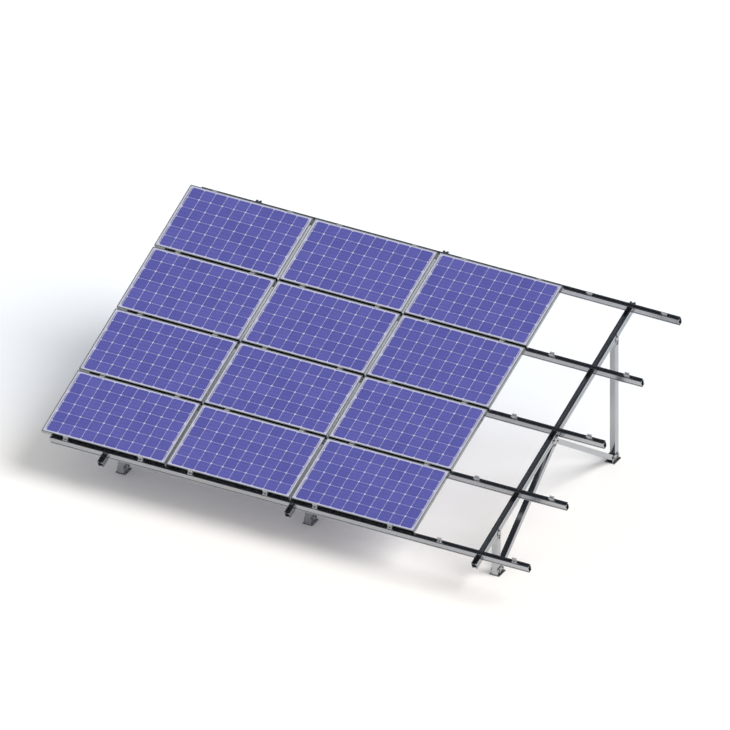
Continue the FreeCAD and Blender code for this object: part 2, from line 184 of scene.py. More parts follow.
def ramp(tree, factor, *stops):
    """Colour ramp through (place, colour) stops."""
    node = add(tree, "ShaderNodeValToRGB", {"Fac": factor})
    elements = node.color_ramp.elements
    elements[0].position, elements[0].color = stops[0]
    elements[1].position, elements[1].color = stops[-1]
    for place, colour in stops[1:-1]:
        elements.new(place).color = colour
    return node.outputs["Color"]


def noise(tree, vector, size, detail=3.0, roughness=0.55):
    """Noise whose largest features are about this size, in metres."""
    settings = {"Vector": vector, "Scale": 1.0 / size, "Detail": detail, "Roughness": roughness}
    return add(tree, "ShaderNodeTexNoise", settings).outputs["Fac"]


def mixed(tree, factor, first, second):
    """The first shader at factor 0 and the second at factor 1."""
    return add(tree, "ShaderNodeMixShader", {0: factor, 1: first, 2: second}).outputs["Shader"]


def spread(tree, value, low, high, start=0.0, end=1.0):
    """The value between low and high, brought to lie between start and end."""
    settings = {"Value": value, "From Min": low, "From Max": high, "To Min": start, "To Max": end}
    return add(tree, "ShaderNodeMapRange", settings).outputs["Result"]


def turned(tree, vector, angle, stretch=(1.0, 1.0, 1.0)):
    """The vector turned back by an angle about x, then squeezed along each axis by stretch."""
    back = {"Vector": vector, "Angle": -angle}
    upright = add(tree, "ShaderNodeVectorRotate", back, rotation_type="X_AXIS")
    sizes = {0: upright.outputs["Vector"], 1: tuple(1.0 / part for part in stretch)}
    return add(tree, "ShaderNodeVectorMath", sizes, operation="MULTIPLY").outputs["Vector"]


def bump(tree, height, distance, strength):
    """Bump from a height."""
    inputs = {"Height": height, "Distance": distance, "Strength": strength}
    return add(tree, "ShaderNodeBump", inputs).outputs["Normal"]


def eased_bump(tree, height, distance, strength, edge):
    """Bump from a height, over edges that are rounded by the given radius."""
    rounded = add(tree, "ShaderNodeBevel", {"Radius": edge}, samples=6)
    inputs = {"Height": height, "Distance": distance, "Strength": strength,
              "Normal": rounded.outputs["Normal"]}
    return add(tree, "ShaderNodeBump", inputs).outputs["Normal"]


# Materials

def extruded_aluminium(name, along, colour, roughness=(0.13, 0.22)):
    """Mill-finish aluminium extrusion, bright and smooth, with faint streaks drawn along it by the die.

    along is the angle of the bar above the y axis, or None for a bar along x, or a function that
    makes the streaks' own coordinates from the tree and the object coordinates.
    """
    material, tree, output = blank_material(name)
    place = add(tree, "ShaderNodeTexCoord").outputs["Object"]
    if callable(along):
        streaked = along(tree, place)
    elif along is None:
        streaked = turned(tree, place, 0.0, (STREAK_LENGTH / STREAK_WIDTH, 1.0, 1.0))
    else:
        streaked = turned(tree, place, along, (1.0, STREAK_LENGTH / STREAK_WIDTH, 1.0))
    streaks = noise(tree, streaked, STREAK_WIDTH)
    lines = noise(tree, streaked, DIE_LINE, detail=2.0)
    clouds = noise(tree, place, CLOUD_SIZE, detail=4.0)
    uneven = add(tree, "ShaderNodeMix", {0: 0.5, 2: streaks, 3: clouds}).outputs[0]
    dark, light = colour
    tone = ramp(tree, uneven, (0.3, srgb(dark)), (0.7, srgb(light)))
    matt = spread(tree, uneven, 0.3, 0.7, *roughness)
    normal = eased_bump(tree, lines, 0.04 * MM, 0.15, 0.9 * MM)
    shader = add(tree, "ShaderNodeBsdfPrincipled", {
        "Base Color": tone, "Metallic": 1.0, "Roughness": matt, "Normal": normal})
    tree.links.new(shader.outputs["BSDF"], output.inputs["Surface"])
    return material


def brace_streaks(front_angle, rear_angle, meeting_y):
    """Streak coordinates for a pair of braces that lean towards each other and meet at one y."""
    stretch = (1.0, STREAK_LENGTH / STREAK_WIDTH, 1.0)

    def make(tree, place):
        y = add(tree, "ShaderNodeSeparateXYZ", {"Vector": place}).outputs["Y"]
        behind = add(tree, "ShaderNodeMath", {0: y, 1: meeting_y}, operation="GREATER_THAN").outputs["Value"]
        front = turned(tree, place, front_angle, stretch)
        rear = turned(tree, place, rear_angle, stretch)
        chosen = add(tree, "ShaderNodeMix", {0: behind, 4: front, 5: rear}, data_type="VECTOR")
        return chosen.outputs[1]

    return make


def pressed_aluminium(name, colour=("#AEB0B4", "#BCBEC1"), metallic=1.0, roughness=(0.2, 0.32)):
    """Pressed and tumbled aluminium of the brackets: satin, with a fine even grain and dulled edges.

    Less metallic and rougher, it is the same sheet under a clear matt anodised coat.
    """
    material, tree, output = blank_material(name)
    place = add(tree, "ShaderNodeTexCoord").outputs["Object"]
    grain = noise(tree, place, 0.9 * MM, detail=2.0)
    patches = noise(tree, place, 45.0 * MM, detail=5.0)
    tone = ramp(tree, patches, (0.3, srgb(colour[0])), (0.7, srgb(colour[1])))
    matt = spread(tree, patches, 0.3, 0.7, *roughness)
    normal = eased_bump(tree, grain, 0.04 * MM, 0.4, 1.5 * MM)
    shader = add(tree, "ShaderNodeBsdfPrincipled", {
        "Base Color": tone, "Metallic": metallic, "Roughness": matt, "Normal": normal})
    tree.links.new(shader.outputs["BSDF"], output.inputs["Surface"])
    return material


def module_frame_with_painted_lip_shading():
    """Clear anodised aluminium of the module frames: bright walls under a brushed, satin upper lip, whose
    darker tone is painted shading chosen by the way its faces point.
    """
    material, tree, output = blank_material("anodised_module_frame_painted_lip_shading")
    place = add(tree, "ShaderNodeTexCoord").outputs["Object"]
    face = add(tree, "ShaderNodeTexCoord").outputs["Normal"]
    slope = add(tree, "ShaderNodeVectorMath", {0: face, 1: (0.0, -math.sin(TILT), math.cos(TILT))},
                operation="DOT_PRODUCT").outputs["Value"]
    # Faces that point up the slope: their darker tone is painted shading by face direction, and they also
    # get a less metallic, rougher finish.
    upper = add(tree, "ShaderNodeMath", {0: slope, 1: 0.9}, operation="GREATER_THAN").outputs["Value"]
    clouds = noise(tree, place, 120.0 * MM, detail=4.0)
    brushed = noise(tree, turned(tree, place, TILT), 1.2 * MM, detail=2.0)
    # Darker tone of the up-facing lip is painted shading; the walls keep the frame's bright tone.
    tone = ramp(tree, clouds, (0.3, srgb("#717775")), (0.7, srgb("#7C827F")))
    wall_tone = ramp(tree, clouds, (0.3, srgb("#A2A6A8")), (0.7, srgb("#AEB2B2")))
    colour = add(tree, "ShaderNodeMix", {0: upper, 6: wall_tone, 7: tone}, data_type="RGBA").outputs[2]
    metal = spread(tree, upper, 0.0, 1.0, 1.0, 0.25)
    matt = spread(tree, upper, 0.0, 1.0, 0.16, 0.5)
    normal = eased_bump(tree, brushed, 0.03 * MM, 0.3, 0.8 * MM)
    shader = add(tree, "ShaderNodeBsdfPrincipled", {
        "Base Color": colour, "Metallic": metal, "Roughness": matt, "Normal": normal})
    tree.links.new(shader.outputs["BSDF"], output.inputs["Surface"])
    return material


def backed_glass():
    """White polymer backsheet seen through tempered solar glass: pale, even, with a clear gloss over it."""
    material, tree, output = blank_material("backsheet_under_solar_glass")
    place = add(tree, "ShaderNodeTexCoord").outputs["Object"]
    clouds = noise(tree, place, 300.0 * MM, detail=3.0)
    tone = ramp(tree, clouds, (0.3, srgb("#C1C1DA")), (0.7, srgb("#CACADF")))
    texture = noise(tree, place, 1.5 * MM, detail=2.0)
    normal = bump(tree, texture, 0.02 * MM, 0.2)
    shader = add(tree, "ShaderNodeBsdfPrincipled", {
        "Base Color": tone, "Roughness": 0.6, "IOR": 1.45, "Coat Weight": 1.0, "Coat Roughness": 0.05,
        "Coat IOR": 1.5, "Normal": normal})
    tree.links.new(shader.outputs["BSDF"], output.inputs["Surface"])
    return material


def silicon_cells():
    """Monocrystalline silicon wafers with a blue anti-reflection coat, under glass.

    Each wafer takes its own slight shade from the coat's thickness, with a soft cloud inside it.
    """
    material, tree, output = blank_material("blue_silicon_cells")
    place = add(tree, "ShaderNodeTexCoord").outputs["Object"]
    wafer = add(tree, "ShaderNodeAttribute", attribute_name="wafer_shade").outputs["Fac"]
    clouds = noise(tree, place, 70.0 * MM, detail=4.0)
    shade = add(tree, "ShaderNodeMix", {0: 0.5, 2: wafer, 3: clouds}).outputs[0]
    colour = ramp(tree, shade, (0.2, srgb("#5859AC")), (0.5, srgb("#5D5EB1")), (0.8, srgb("#6262B6")))
    shader = add(tree, "ShaderNodeBsdfPrincipled", {
        "Base Color": colour, "Roughness": 0.5, "Coat Weight": 1.0, "Coat Roughness": 0.05, "Coat IOR": 1.5})
    tree.links.new(shader.outputs["BSDF"], output.inputs["Surface"])
    return material


def tinned_copper():
    """Tinned copper ribbon under glass: pale grey, drawn smooth."""
    material, tree, output = blank_material("tinned_copper_ribbon")
    place = add(tree, "ShaderNodeTexCoord").outputs["Object"]
    drawn = noise(tree, place, 6.0 * MM, detail=3.0)
    tone = ramp(tree, drawn, (0.3, srgb("#8E90A0")), (0.7, srgb("#A2A4B2")))
    shader = add(tree, "ShaderNodeBsdfPrincipled", {
        "Base Color": tone, "Metallic": 1.0, "Roughness": 0.3, "Coat Weight": 1.0, "Coat Roughness": 0.05,
        "Coat IOR": 1.5})
    tree.links.new(shader.outputs["BSDF"], output.inputs["Surface"])
    return material


def stainless_steel():
    """Stainless steel of the bolts: turned bright, a little warmer and darker than the aluminium."""
    material, tree, output = blank_material("stainless_bolts")
    place = add(tree, "ShaderNodeTexCoord").outputs["Object"]
    turning = noise(tree, place, 1.0 * MM, detail=3.0)
    tone = ramp(tree, turning, (0.3, srgb("#A9A8A4")), (0.7, srgb("#BDBBB6")))
    normal = bump(tree, turning, 0.05 * MM, 0.3)
    shader = add(tree, "ShaderNodeBsdfPrincipled", {
        "Base Color": tone, "Metallic": 1.0, "Roughness": 0.24, "Normal": normal})
    tree.links.new(shader.outputs["BSDF"], output.inputs["Surface"])
    return material


def moulded_plastic():
    """Black moulded plastic of the junction boxes: matt, with a fine spark-eroded grain."""
    material, tree, output = blank_material("moulded_box_plastic")
    place = add(tree, "ShaderNodeTexCoord").outputs["Object"]
    grain = noise(tree, place, 1.1 * MM, detail=4.0)
    tone = ramp(tree, grain, (0.3, srgb("#1B1C1E")), (0.7, srgb("#27282B")))
    normal = eased_bump(tree, grain, 0.12 * MM, 0.5, 1.0 * MM)
    shader = add(tree, "ShaderNodeBsdfPrincipled", {
        "Base Color": tone, "Roughness": 0.55, "IOR": 1.5, "Normal": normal})
    tree.links.new(shader.outputs["BSDF"], output.inputs["Surface"])
    return material


# Modelling

def deselect():
    bpy.ops.object.select_all(action="DESELECT")


def named(name):
    """The primitive that was just added, named and with its place applied to its mesh."""
    piece = bpy.context.active_object
    piece.name = name
    piece.data.name = name
    bpy.ops.object.transform_apply(location=True, rotation=True, scale=True)
    return piece


def pick(piece, kind, test):
    """Selects, in edit mode, only the faces, edges or verts that pass the test."""
    mesh = bmesh.from_edit_mesh(piece.data)
    bpy.ops.mesh.select_all(action="DESELECT")
    bpy.ops.mesh.select_mode(type={"faces": "FACE", "edges": "EDGE", "verts": "VERT"}[kind])
    for element in getattr(mesh, kind):
        element.select_set(test(element))
    bmesh.update_edit_mesh(piece.data)


def copied(piece, turn):
    """A copy with its own mesh, its vertices moved by the matrix."""
    twin = piece.copy()
    twin.data = piece.data.copy()
    twin.data.transform(turn)
    bpy.context.collection.objects.link(twin)
    return twin


def joined(pieces, name):
    """Joins pieces into one mesh under a name."""
    deselect()
    for piece in pieces:
        piece.select_set(True)
    bpy.context.view_layer.objects.active = pieces[0]
    if len(pieces) > 1:
        bpy.ops.object.join()
    whole = bpy.context.active_object
    whole.name = name
    whole.data.name = name
    return whole


def scattered(pattern, places, name):
    """One mesh of a pattern piece at every place; the pattern itself is removed."""
    copies = [copied(pattern, place) for place in places]
    bpy.data.objects.remove(pattern)
    return joined(copies, name)


def repeated(piece, *steps):
    """Applies an array for each (count, offset) of steps."""
    deselect()
    piece.select_set(True)
    bpy.context.view_layer.objects.active = piece
    for count, offset in steps:
        array = piece.modifiers.new("repeat", "ARRAY")
        array.count = count
        array.use_relative_offset = False
        array.use_constant_offset = True
        array.constant_offset_displace = offset
        bpy.ops.object.modifier_apply(modifier=array.name)


def finished(piece, material):
    """Gives a new piece its material and its body."""
    piece.data.materials.clear()
    piece.data.materials.append(material)
    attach(piece, "root")
    return piece


# Places read from the frame. The slope frame is the world turned back by the tilt.

def solids(node, turn=None):
    """Lowest and highest corner of each separate solid of a node, in the world or turned by a matrix."""
    mesh = bmesh.new()
    mesh.from_mesh(bpy.data.objects[node].data)
    bmesh.ops.remove_doubles(mesh, verts=mesh.verts, dist=0.01 * MM)
    if turn is not None:
        mesh.transform(turn)
    left = set(mesh.verts)
    boxes = []
    while left:
        front = [left.pop()]
        island = []
        while front:
            vertex = front.pop()
            island.append(vertex.co.copy())
            for edge in vertex.link_edges:
                other = edge.other_vert(vertex)
                if other in left:
                    left.remove(other)
                    front.append(other)
        low = Vector([min(point[axis] for point in island) for axis in range(3)])
        high = Vector([max(point[axis] for point in island) for axis in range(3)])
        boxes.append((low, high))
    mesh.free()
    return sorted(boxes, key=lambda box: tuple(round(value, 3) for value in box[0]))


def middle(box):
    return (box[0] + box[1]) / 2


def up_slope(y, normal):
    """Up-slope coordinate of the point of the slope frame that lies over world y at this normal."""
    return (y + normal * math.sin(TILT)) / math.cos(TILT)


# Cells and ribbons

def cell_block(column):
    """Wafers of one column of modules: square with cut corners, in rows on the backed sheet."""
    sheets = solids("laminates_column_%d" % column, FLAT)
    first = sheets[0]
    centre = middle(first)
    width = CELL_PITCH_X - CELL_GAP_X
    height = CELL_PITCH_Y - CELL_GAP_Y
    start_x = centre.x - CELL_PITCH_X * (CELLS_ACROSS - 1) / 2
    start_y = centre.y - CELL_PITCH_Y * (CELLS_UP - 1) / 2
    deselect()
    bpy.ops.mesh.primitive_plane_add(size=1.0, location=(start_x, start_y, first[1].z))
    wafer = named("cells_column_%d" % column)
    bpy.ops.object.mode_set(mode="EDIT")
    bpy.ops.mesh.select_all(action="SELECT")
    bpy.ops.transform.resize(value=(width, height, 1.0), center_override=(start_x, start_y, first[1].z))
    bpy.ops.mesh.bevel(offset=CELL_CORNER, segments=1, affect="VERTICES")
    bpy.ops.mesh.extrude_region_move(TRANSFORM_OT_translate={"value": (0.0, 0.0, CELL_THICKNESS)})
    bpy.ops.mesh.select_all(action="SELECT")
    bpy.ops.mesh.normals_make_consistent(inside=False)
    bpy.ops.object.mode_set(mode="OBJECT")
    row_step = (sheets[-1][0].y - first[0].y) / (MODULE_ROWS - 1)
    repeated(wafer, (CELLS_ACROSS, (CELL_PITCH_X, 0.0, 0.0)), (CELLS_UP, (0.0, CELL_PITCH_Y, 0.0)),
             (MODULE_ROWS, (0.0, row_step, 0.0)))
    shade_wafers(wafer, column)
    return wafer, centre, first[1].z, row_step


def shade_wafers(piece, seed):
    """Stores one number for each wafer, so that neighbours differ a little in shade."""
    mesh = piece.data
    layer = mesh.attributes.new("wafer_shade", "FLOAT", "FACE")
    for face in mesh.polygons:
        across = math.floor(face.center.x / CELL_PITCH_X + 0.5 * seed)
        up = math.floor(face.center.y / CELL_PITCH_Y)
        wave = math.sin(across * 12.9898 + up * 78.233 + seed) * 43758.5453
        layer.data[face.index].value = wave - math.floor(wave)


def ribbon_block(column, centre, level, row_step):
    """Contact ribbons along the strings of cells, and the bus bars that join strings at both ends."""
    length = CELL_PITCH_X * CELLS_ACROSS - CELL_GAP_X + 2 * RIBBON_OVERHANG
    start_y = centre.y - CELL_PITCH_Y * (CELLS_UP - 1) / 2
    spacing = CELL_PITCH_Y / RIBBONS_PER_CELL
    low = level + CELL_THICKNESS
    deselect()
    start = (centre.x, start_y - spacing, low)
    bpy.ops.mesh.primitive_plane_add(size=1.0, location=start)
    ribbon = named("ribbons_column_%d" % column)
    bpy.ops.object.mode_set(mode="EDIT")
    bpy.ops.mesh.select_all(action="SELECT")
    bpy.ops.transform.resize(value=(length, RIBBON_WIDTH, 1.0), center_override=start)
    bpy.ops.mesh.extrude_region_move(TRANSFORM_OT_translate={"value": (0.0, 0.0, RIBBON_THICKNESS)})
    bpy.ops.mesh.select_all(action="SELECT")
    bpy.ops.mesh.normals_make_consistent(inside=False)
    bpy.ops.object.mode_set(mode="OBJECT")
    repeated(ribbon, (RIBBONS_PER_CELL, (0.0, spacing, 0.0)), (CELLS_UP, (0.0, CELL_PITCH_Y, 0.0)),
             (MODULE_ROWS, (0.0, row_step, 0.0)))
    deselect()
    bus_length = 2 * CELL_PITCH_Y - CELL_GAP_Y - spacing
    end = length / 2 + BUS_WIDTH / 2
    bus_centre = (centre.x - end, start_y + CELL_PITCH_Y / 2, level)
    bpy.ops.mesh.primitive_plane_add(size=1.0, location=bus_centre)
    bus = named("bus_bars")
    bpy.ops.object.mode_set(mode="EDIT")
    bpy.ops.mesh.select_all(action="SELECT")
    bpy.ops.transform.resize(value=(BUS_WIDTH, bus_length, 1.0), center_override=bus_centre)
    bpy.ops.mesh.extrude_region_move(TRANSFORM_OT_translate={"value": (0.0, 0.0, CELL_THICKNESS)})
    bpy.ops.mesh.select_all(action="SELECT")
    bpy.ops.mesh.normals_make_consistent(inside=False)
    bpy.ops.object.mode_set(mode="OBJECT")
    repeated(bus, (2, (2 * end, 0.0, 0.0)), (CELLS_UP // 2, (0.0, 2 * CELL_PITCH_Y, 0.0)),
             (MODULE_ROWS, (0.0, row_step, 0.0)))
    return joined([ribbon, bus], "ribbons_column_%d" % column)


# Bolts. Each pattern points along +x, with the underside of its washer at x = 0.

def disc(name, radius, depth, base, sides, bevel):
    """Round or hexagonal slug along +x from base, with its outer rim chamfered."""
    deselect()
    bpy.ops.mesh.primitive_cylinder_add(vertices=sides, radius=radius, depth=depth,
                                        location=(base + depth / 2, 0.0, 0.0),
                                        rotation=(0.0, math.pi / 2, 0.0))
    piece = named(name)
    bpy.ops.object.mode_set(mode="EDIT")
    pick(piece, "faces", lambda face: face.normal.x > 0.9)
    bpy.ops.mesh.bevel(offset=bevel, segments=1, affect="EDGES")
    bpy.ops.object.mode_set(mode="OBJECT")
    return piece


def hexagon_head(flats, head):
    """Washer and hexagon head."""
    washer_radius = flats * WASHER_SHARE / 2
    corner = flats / 2 / math.cos(math.pi / 6)
    washer = disc("washer", washer_radius, WASHER_THICKNESS, 0.0, 20, WASHER_CHAMFER)
    hexagon = disc("head", corner, head, WASHER_THICKNESS, 6, 0.8 * MM)
    return joined([washer, hexagon], "hexagon_head")


def nut_end(flats, shank):
    """Washer, nut and the end of the thread that stands out of it, pointing along +x too."""
    washer_radius = flats * WASHER_SHARE / 2
    corner = flats / 2 / math.cos(math.pi / 6)
    height = NUT_SHARE * flats
    washer = disc("washer", washer_radius, WASHER_THICKNESS, 0.0, 20, WASHER_CHAMFER)
    nut = disc("nut", corner, height, WASHER_THICKNESS, 6, 0.9 * MM)
    thread = disc("thread", shank / 2, THREAD_END, WASHER_THICKNESS + height - THREAD_SUNK, 12, 1.0 * MM)
    return joined([washer, nut, thread], "nut_end")


def socket_head():
    """Washer and round head with a hexagon socket sunk in its top."""
    radius = SOCKET_HEAD / 2
    base = SOCKET_WASHER_THICKNESS
    washer = disc("washer", radius * SOCKET_WASHER_SHARE, base, 0.0, 16, WASHER_CHAMFER)
    head = disc("head", radius, SOCKET_HEAD_HEIGHT, base, 18, SOCKET_CHAMFER)
    bpy.ops.object.mode_set(mode="EDIT")
    top = base + SOCKET_HEAD_HEIGHT
    pick(head, "faces", lambda face: face.normal.x > 0.9 and face.calc_center_median().x > top - 0.1 * MM)
    bpy.ops.mesh.inset(thickness=radius - SOCKET_CHAMFER - SOCKET_ACROSS / 2)
    bpy.ops.mesh.extrude_region_move(TRANSFORM_OT_translate={"value": (-SOCKET_DEPTH, 0.0, 0.0)})
    bpy.ops.object.mode_set(mode="OBJECT")
    return joined([washer, head], "socket_head")


def through_bolts(points, half_width, flats, head, shank, name):
    """Bolts along x through points (x, y, z): heads on the +x side, nuts on the -x side."""
    out = Vector((half_width, 0.0, 0.0))
    head_places = [Matrix.Translation(point + out) for point in points]
    nut_places = [Matrix.Translation(point - out) @ TURN_ROUND for point in points]
    heads = scattered(hexagon_head(flats, head), head_places, name)
    nuts = scattered(nut_end(flats, shank), nut_places, "nuts")
    return joined([heads, nuts], name)


def slope_point(x, along, normal):
    return SLOPE @ Vector((x, along, normal))


def support_bolts(side):
    """Bolts of one support: leg heads, brace hanger, and shoes with their legs and brace ends."""
    beam = solids("rafter_" + side, FLAT)[0]
    forks = sorted(solids("forks_" + side), key=lambda box: middle(box).y)
    flat_forks = sorted(solids("forks_" + side, FLAT), key=lambda box: middle(box).y)
    x = middle(beam).x
    beam_middle = middle(beam).z
    points = []
    for place, leg in (("front", forks[0]), ("rear", forks[2])):
        leg_centre = middle(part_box("%s_leg_%s" % (place, side))).y
        points.append(slope_point(x, up_slope(leg_centre, beam_middle), beam_middle))
        points += [Vector((x, leg_centre, leg[0].z + rise)) for rise in HEAD_SKIRT_BOLTS]
    hanger = flat_forks[1]
    pivot = hanger[0].z + HANGER_END_RADIUS
    upper = hanger[1].z - HANGER_UPPER_DROP
    along = middle(hanger).y
    for toward in (-1, 1):
        points.append(slope_point(x, along + toward * HANGER_PIVOT_SPACING / 2, pivot))
        points.append(slope_point(x, along + toward * HANGER_UPPER_SPACING / 2, upper))
    fork_half = (forks[0][1].x - forks[0][0].x) / 2
    bolts = through_bolts(points, fork_half, BOLT_FLATS, BOLT_HEAD, BOLT_SHANK, "fork_bolts_" + side)
    return [bolts] + [shoe_bolts(side, place, toward) for place, toward in (("front", 1), ("rear", -1))]


def shoe_bolts(side, place, toward):
    """Two bolts through the leg and one through the rounded end of the brace, in one shoe."""
    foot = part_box("%s_foot_%s" % (place, side))
    leg = middle(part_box("%s_leg_%s" % (place, side)))
    braces = solids("braces_" + side)
    brace = braces[0] if toward > 0 else braces[1]
    brace_end = brace[0].y if toward > 0 else brace[1].y
    radius = SHOE_PIVOT_HEIGHT - brace[0].z
    pivot = Vector((leg.x, brace_end + toward * radius, SHOE_PIVOT_HEIGHT))
    points = [Vector((leg.x, leg.y, height)) for height in SHOE_LEG_BOLTS] + [pivot]
    ears = ear_half_width("%s_foot_%s" % (place, side), foot)
    name = "%s_shoe_bolts_%s" % (place, side)
    return through_bolts(points, ears, BOLT_FLATS, BOLT_HEAD, BOLT_SHANK, name)


def ear_half_width(node, box):
    """Half the width over the ears of a shoe: its vertices above half of its height."""
    level = box[1].z / 2
    corners = [vertex.co.x for vertex in bpy.data.objects[node].data.vertices if vertex.co.z > level]
    return (max(corners) - min(corners)) / 2


def clip_bolts():
    """Bolts of the rail clips: one down through the foot and one through the upright into the rail."""
    down = []
    across = []
    for low, high in solids("rail_clips", FLAT):
        x = (low.x + high.x) / 2
        sheet = clip_sheet(low, high)
        foot = Matrix.Translation((x, low.y + CLIP_FOOT_BOLT, low.z + sheet)) @ POINT_UP
        turn = Matrix.Rotation(math.pi / 2, 4, "Z")
        upright = Matrix.Translation((x, low.y + sheet, low.z + CLIP_UPRIGHT_BOLT)) @ turn
        down.append(SLOPE @ foot)
        across.append(SLOPE @ upright)
    pattern = hexagon_head(CLIP_BOLT_FLATS, CLIP_BOLT_HEAD)
    return scattered(pattern, down + across, "clip_bolts")


def clip_sheet(low, high):
    """Thickness of a clip's sheet, read from its vertices."""
    levels = set()
    for vertex in bpy.data.objects["rail_clips"].data.vertices:
        point = FLAT @ vertex.co
        inside = all(low[axis] - MM < point[axis] < high[axis] + MM for axis in range(3))
        if inside:
            levels.add(round(point.z - low.z, 4))
    return sorted(levels)[1]


def clamp_bolts():
    """Socket head bolts: in the channel of each mid clamp, and on the flat foot of each end clamp."""
    places = []
    for node in ("mid_clamps", "end_clamps"):
        for low, high in solids(node, FLAT):
            seat = Vector(((low.x + high.x) / 2, clamp_bolt_line(low, high, node), low.z + CLAMP_SHEET))
            places.append(SLOPE @ Matrix.Translation(seat) @ POINT_UP)
    return scattered(socket_head(), places, "clamp_bolts")


def clamp_bolt_line(low, high, node):
    """Up-slope place of a clamp's bolt, over the middle of its rail."""
    if node == "mid_clamps":
        return (low.y + high.y) / 2
    rails = [middle(solids("rail_%d" % number, FLAT)[0]).y for number in (1, RAILS)]
    return min(rails, key=lambda line: abs(line - (low.y + high.y) / 2))


# Surroundings

def paper_floor():
    """White paper sweep that keeps the shadow, warmer at the front and cooler at the back, a painted tint of
    the shade on it.

    The camera sees a brighter copy of the paper, lifted a little by a faint glow: painted light. Gloss sees
    the plain paper with some white glow mixed in, more of it towards the back: a painted brightening of its
    reflection.
    """
    material, tree, output = blank_material("white_paper_floor")
    place = add(tree, "ShaderNodeTexCoord").outputs["Object"]
    fibre = noise(tree, place, 2.0 * MM, detail=2.0)
    normal = bump(tree, fibre, 0.05 * MM, 0.1)
    towards_back = add(tree, "ShaderNodeVectorMath", {0: place, 1: BACK_OF_STUDIO}, operation="DOT_PRODUCT")
    depth = spread(tree, towards_back.outputs["Value"], FLOOR_FRONT, FLOOR_BACK)
    # Warmer at the front and cooler at the back: a painted tint of the shade on the floor.
    tone = ramp(tree, depth, (0.0, srgb("#F7F4F0")), (0.5, srgb("#F4F3F1")), (1.0, srgb("#EEF3F9")))
    # Brighter copy of those tones, seen only by the camera: painted light.
    brightened_paper_tone = ramp(tree, depth, (0.0, srgb("#FBF8F4")), (0.5, srgb("#F9F8F6")), (1.0, srgb("#F3F7FC")))
    paper = add(tree, "ShaderNodeBsdfDiffuse", {"Color": tone, "Normal": normal}).outputs["BSDF"]
    brightened_paper = add(tree, "ShaderNodeBsdfDiffuse", {"Color": brightened_paper_tone, "Normal": normal}).outputs["BSDF"]
    rays = add(tree, "ShaderNodeLightPath").outputs
    # Faint glow added for the camera only: painted light that lifts the floor.
    lift = add(tree, "ShaderNodeEmission", {"Color": WHITE, "Strength": FLOOR_LIFT}).outputs["Emission"]
    lifted = add(tree, "ShaderNodeAddShader", {0: brightened_paper, 1: lift}).outputs["Shader"]
    # White glow mixed into the paper for glossy rays, more of it towards the back: a painted brightening of
    # the floor's reflection.
    white = add(tree, "ShaderNodeEmission", {"Color": WHITE, "Strength": 1.0}).outputs["Emission"]
    share = spread(tree, depth, 0.0, 1.0, *REFLECTED_PAINTED_GLOW)
    paper_with_painted_glow = mixed(tree, share, paper, white)
    seen = mixed(tree, rays["Is Camera Ray"], paper, lifted)
    tree.links.new(mixed(tree, rays["Is Glossy Ray"], seen, paper_with_painted_glow), output.inputs["Surface"])
    return material


def studio_floor():
    deselect()
    bpy.ops.mesh.primitive_plane_add(size=FLOOR_SIZE, location=(0.0, 0.0, -FLOOR_DROP))
    floor = named("studio_floor")
    floor.data.materials.append(paper_floor())


def toward_lamp():
    """Direction from the object to the lamp."""
    return Vector((math.cos(KEY_AZIMUTH) * math.cos(KEY_ELEVATION),
                   math.sin(KEY_AZIMUTH) * math.cos(KEY_ELEVATION), math.sin(KEY_ELEVATION)))


def studio_world():
    """White to the camera, and an even fill for matt surfaces.

    Gloss sees a white wall under a dark ceiling, with a soft window where the lamp is.
    """
    world = bpy.data.worlds.new("studio")
    world.use_nodes = True
    tree = world.node_tree
    tree.nodes.clear()
    output = add(tree, "ShaderNodeOutputWorld")
    direction = add(tree, "ShaderNodeTexCoord").outputs["Generated"]
    split = add(tree, "ShaderNodeSeparateXYZ", {"Vector": direction}).outputs
    back = spread(tree, split["Y"], CEILING_FRONT_Y, CEILING_REAR_Y)
    ceiling = ramp(tree, back, (0.0, FRONT_CEILING), (1.0, REAR_CEILING))
    wall = ramp(tree, split["Z"], (0.0, WHITE), (WALL_TOP, WHITE), (WALL_FADE, GREY_WALL))
    above = spread(tree, split["Z"], WALL_FADE, CEILING_START)
    bare_room = add(tree, "ShaderNodeMix", {0: above, 6: wall, 7: ceiling}, data_type="RGBA").outputs[2]
    beside = add(tree, "ShaderNodeVectorMath", {0: direction, 1: toward_lamp()}, operation="DOT_PRODUCT")
    window = spread(tree, beside.outputs["Value"], WINDOW_RIM, WINDOW_HEART)
    room = add(tree, "ShaderNodeMix", {0: window, 6: bare_room, 7: WHITE}, data_type="RGBA").outputs[2]
    rays = add(tree, "ShaderNodeLightPath").outputs
    fill = add(tree, "ShaderNodeBackground", {"Color": WHITE, "Strength": FILL_STRENGTH}).outputs[0]
    gloss = add(tree, "ShaderNodeBackground", {"Color": room, "Strength": 1.0}).outputs[0]
    backdrop = add(tree, "ShaderNodeBackground", {"Color": WHITE, "Strength": 1.0}).outputs[0]
    mirrored = add(tree, "ShaderNodeMath", {0: rays["Is Glossy Ray"], 1: rays["Is Transmission Ray"]},
                   operation="MAXIMUM").outputs["Value"]
    lit = mixed(tree, mirrored, fill, gloss)
    tree.links.new(mixed(tree, rays["Is Camera Ray"], lit, backdrop), output.inputs["Surface"])
    bpy.context.scene.world = world


def key_lamp():
    """One broad soft lamp, high on the right and a little behind. Gloss sees the room's window for it."""
    lamp = bpy.data.lights.new("key_lamp", "SUN")
    lamp.energy = KEY_STRENGTH
    lamp.angle = KEY_SPREAD
    holder = bpy.data.objects.new("key_lamp", lamp)
    holder.rotation_euler = toward_lamp().to_track_quat("Z", "Y").to_euler()
    holder.visible_glossy = False
    bpy.context.collection.objects.link(holder)


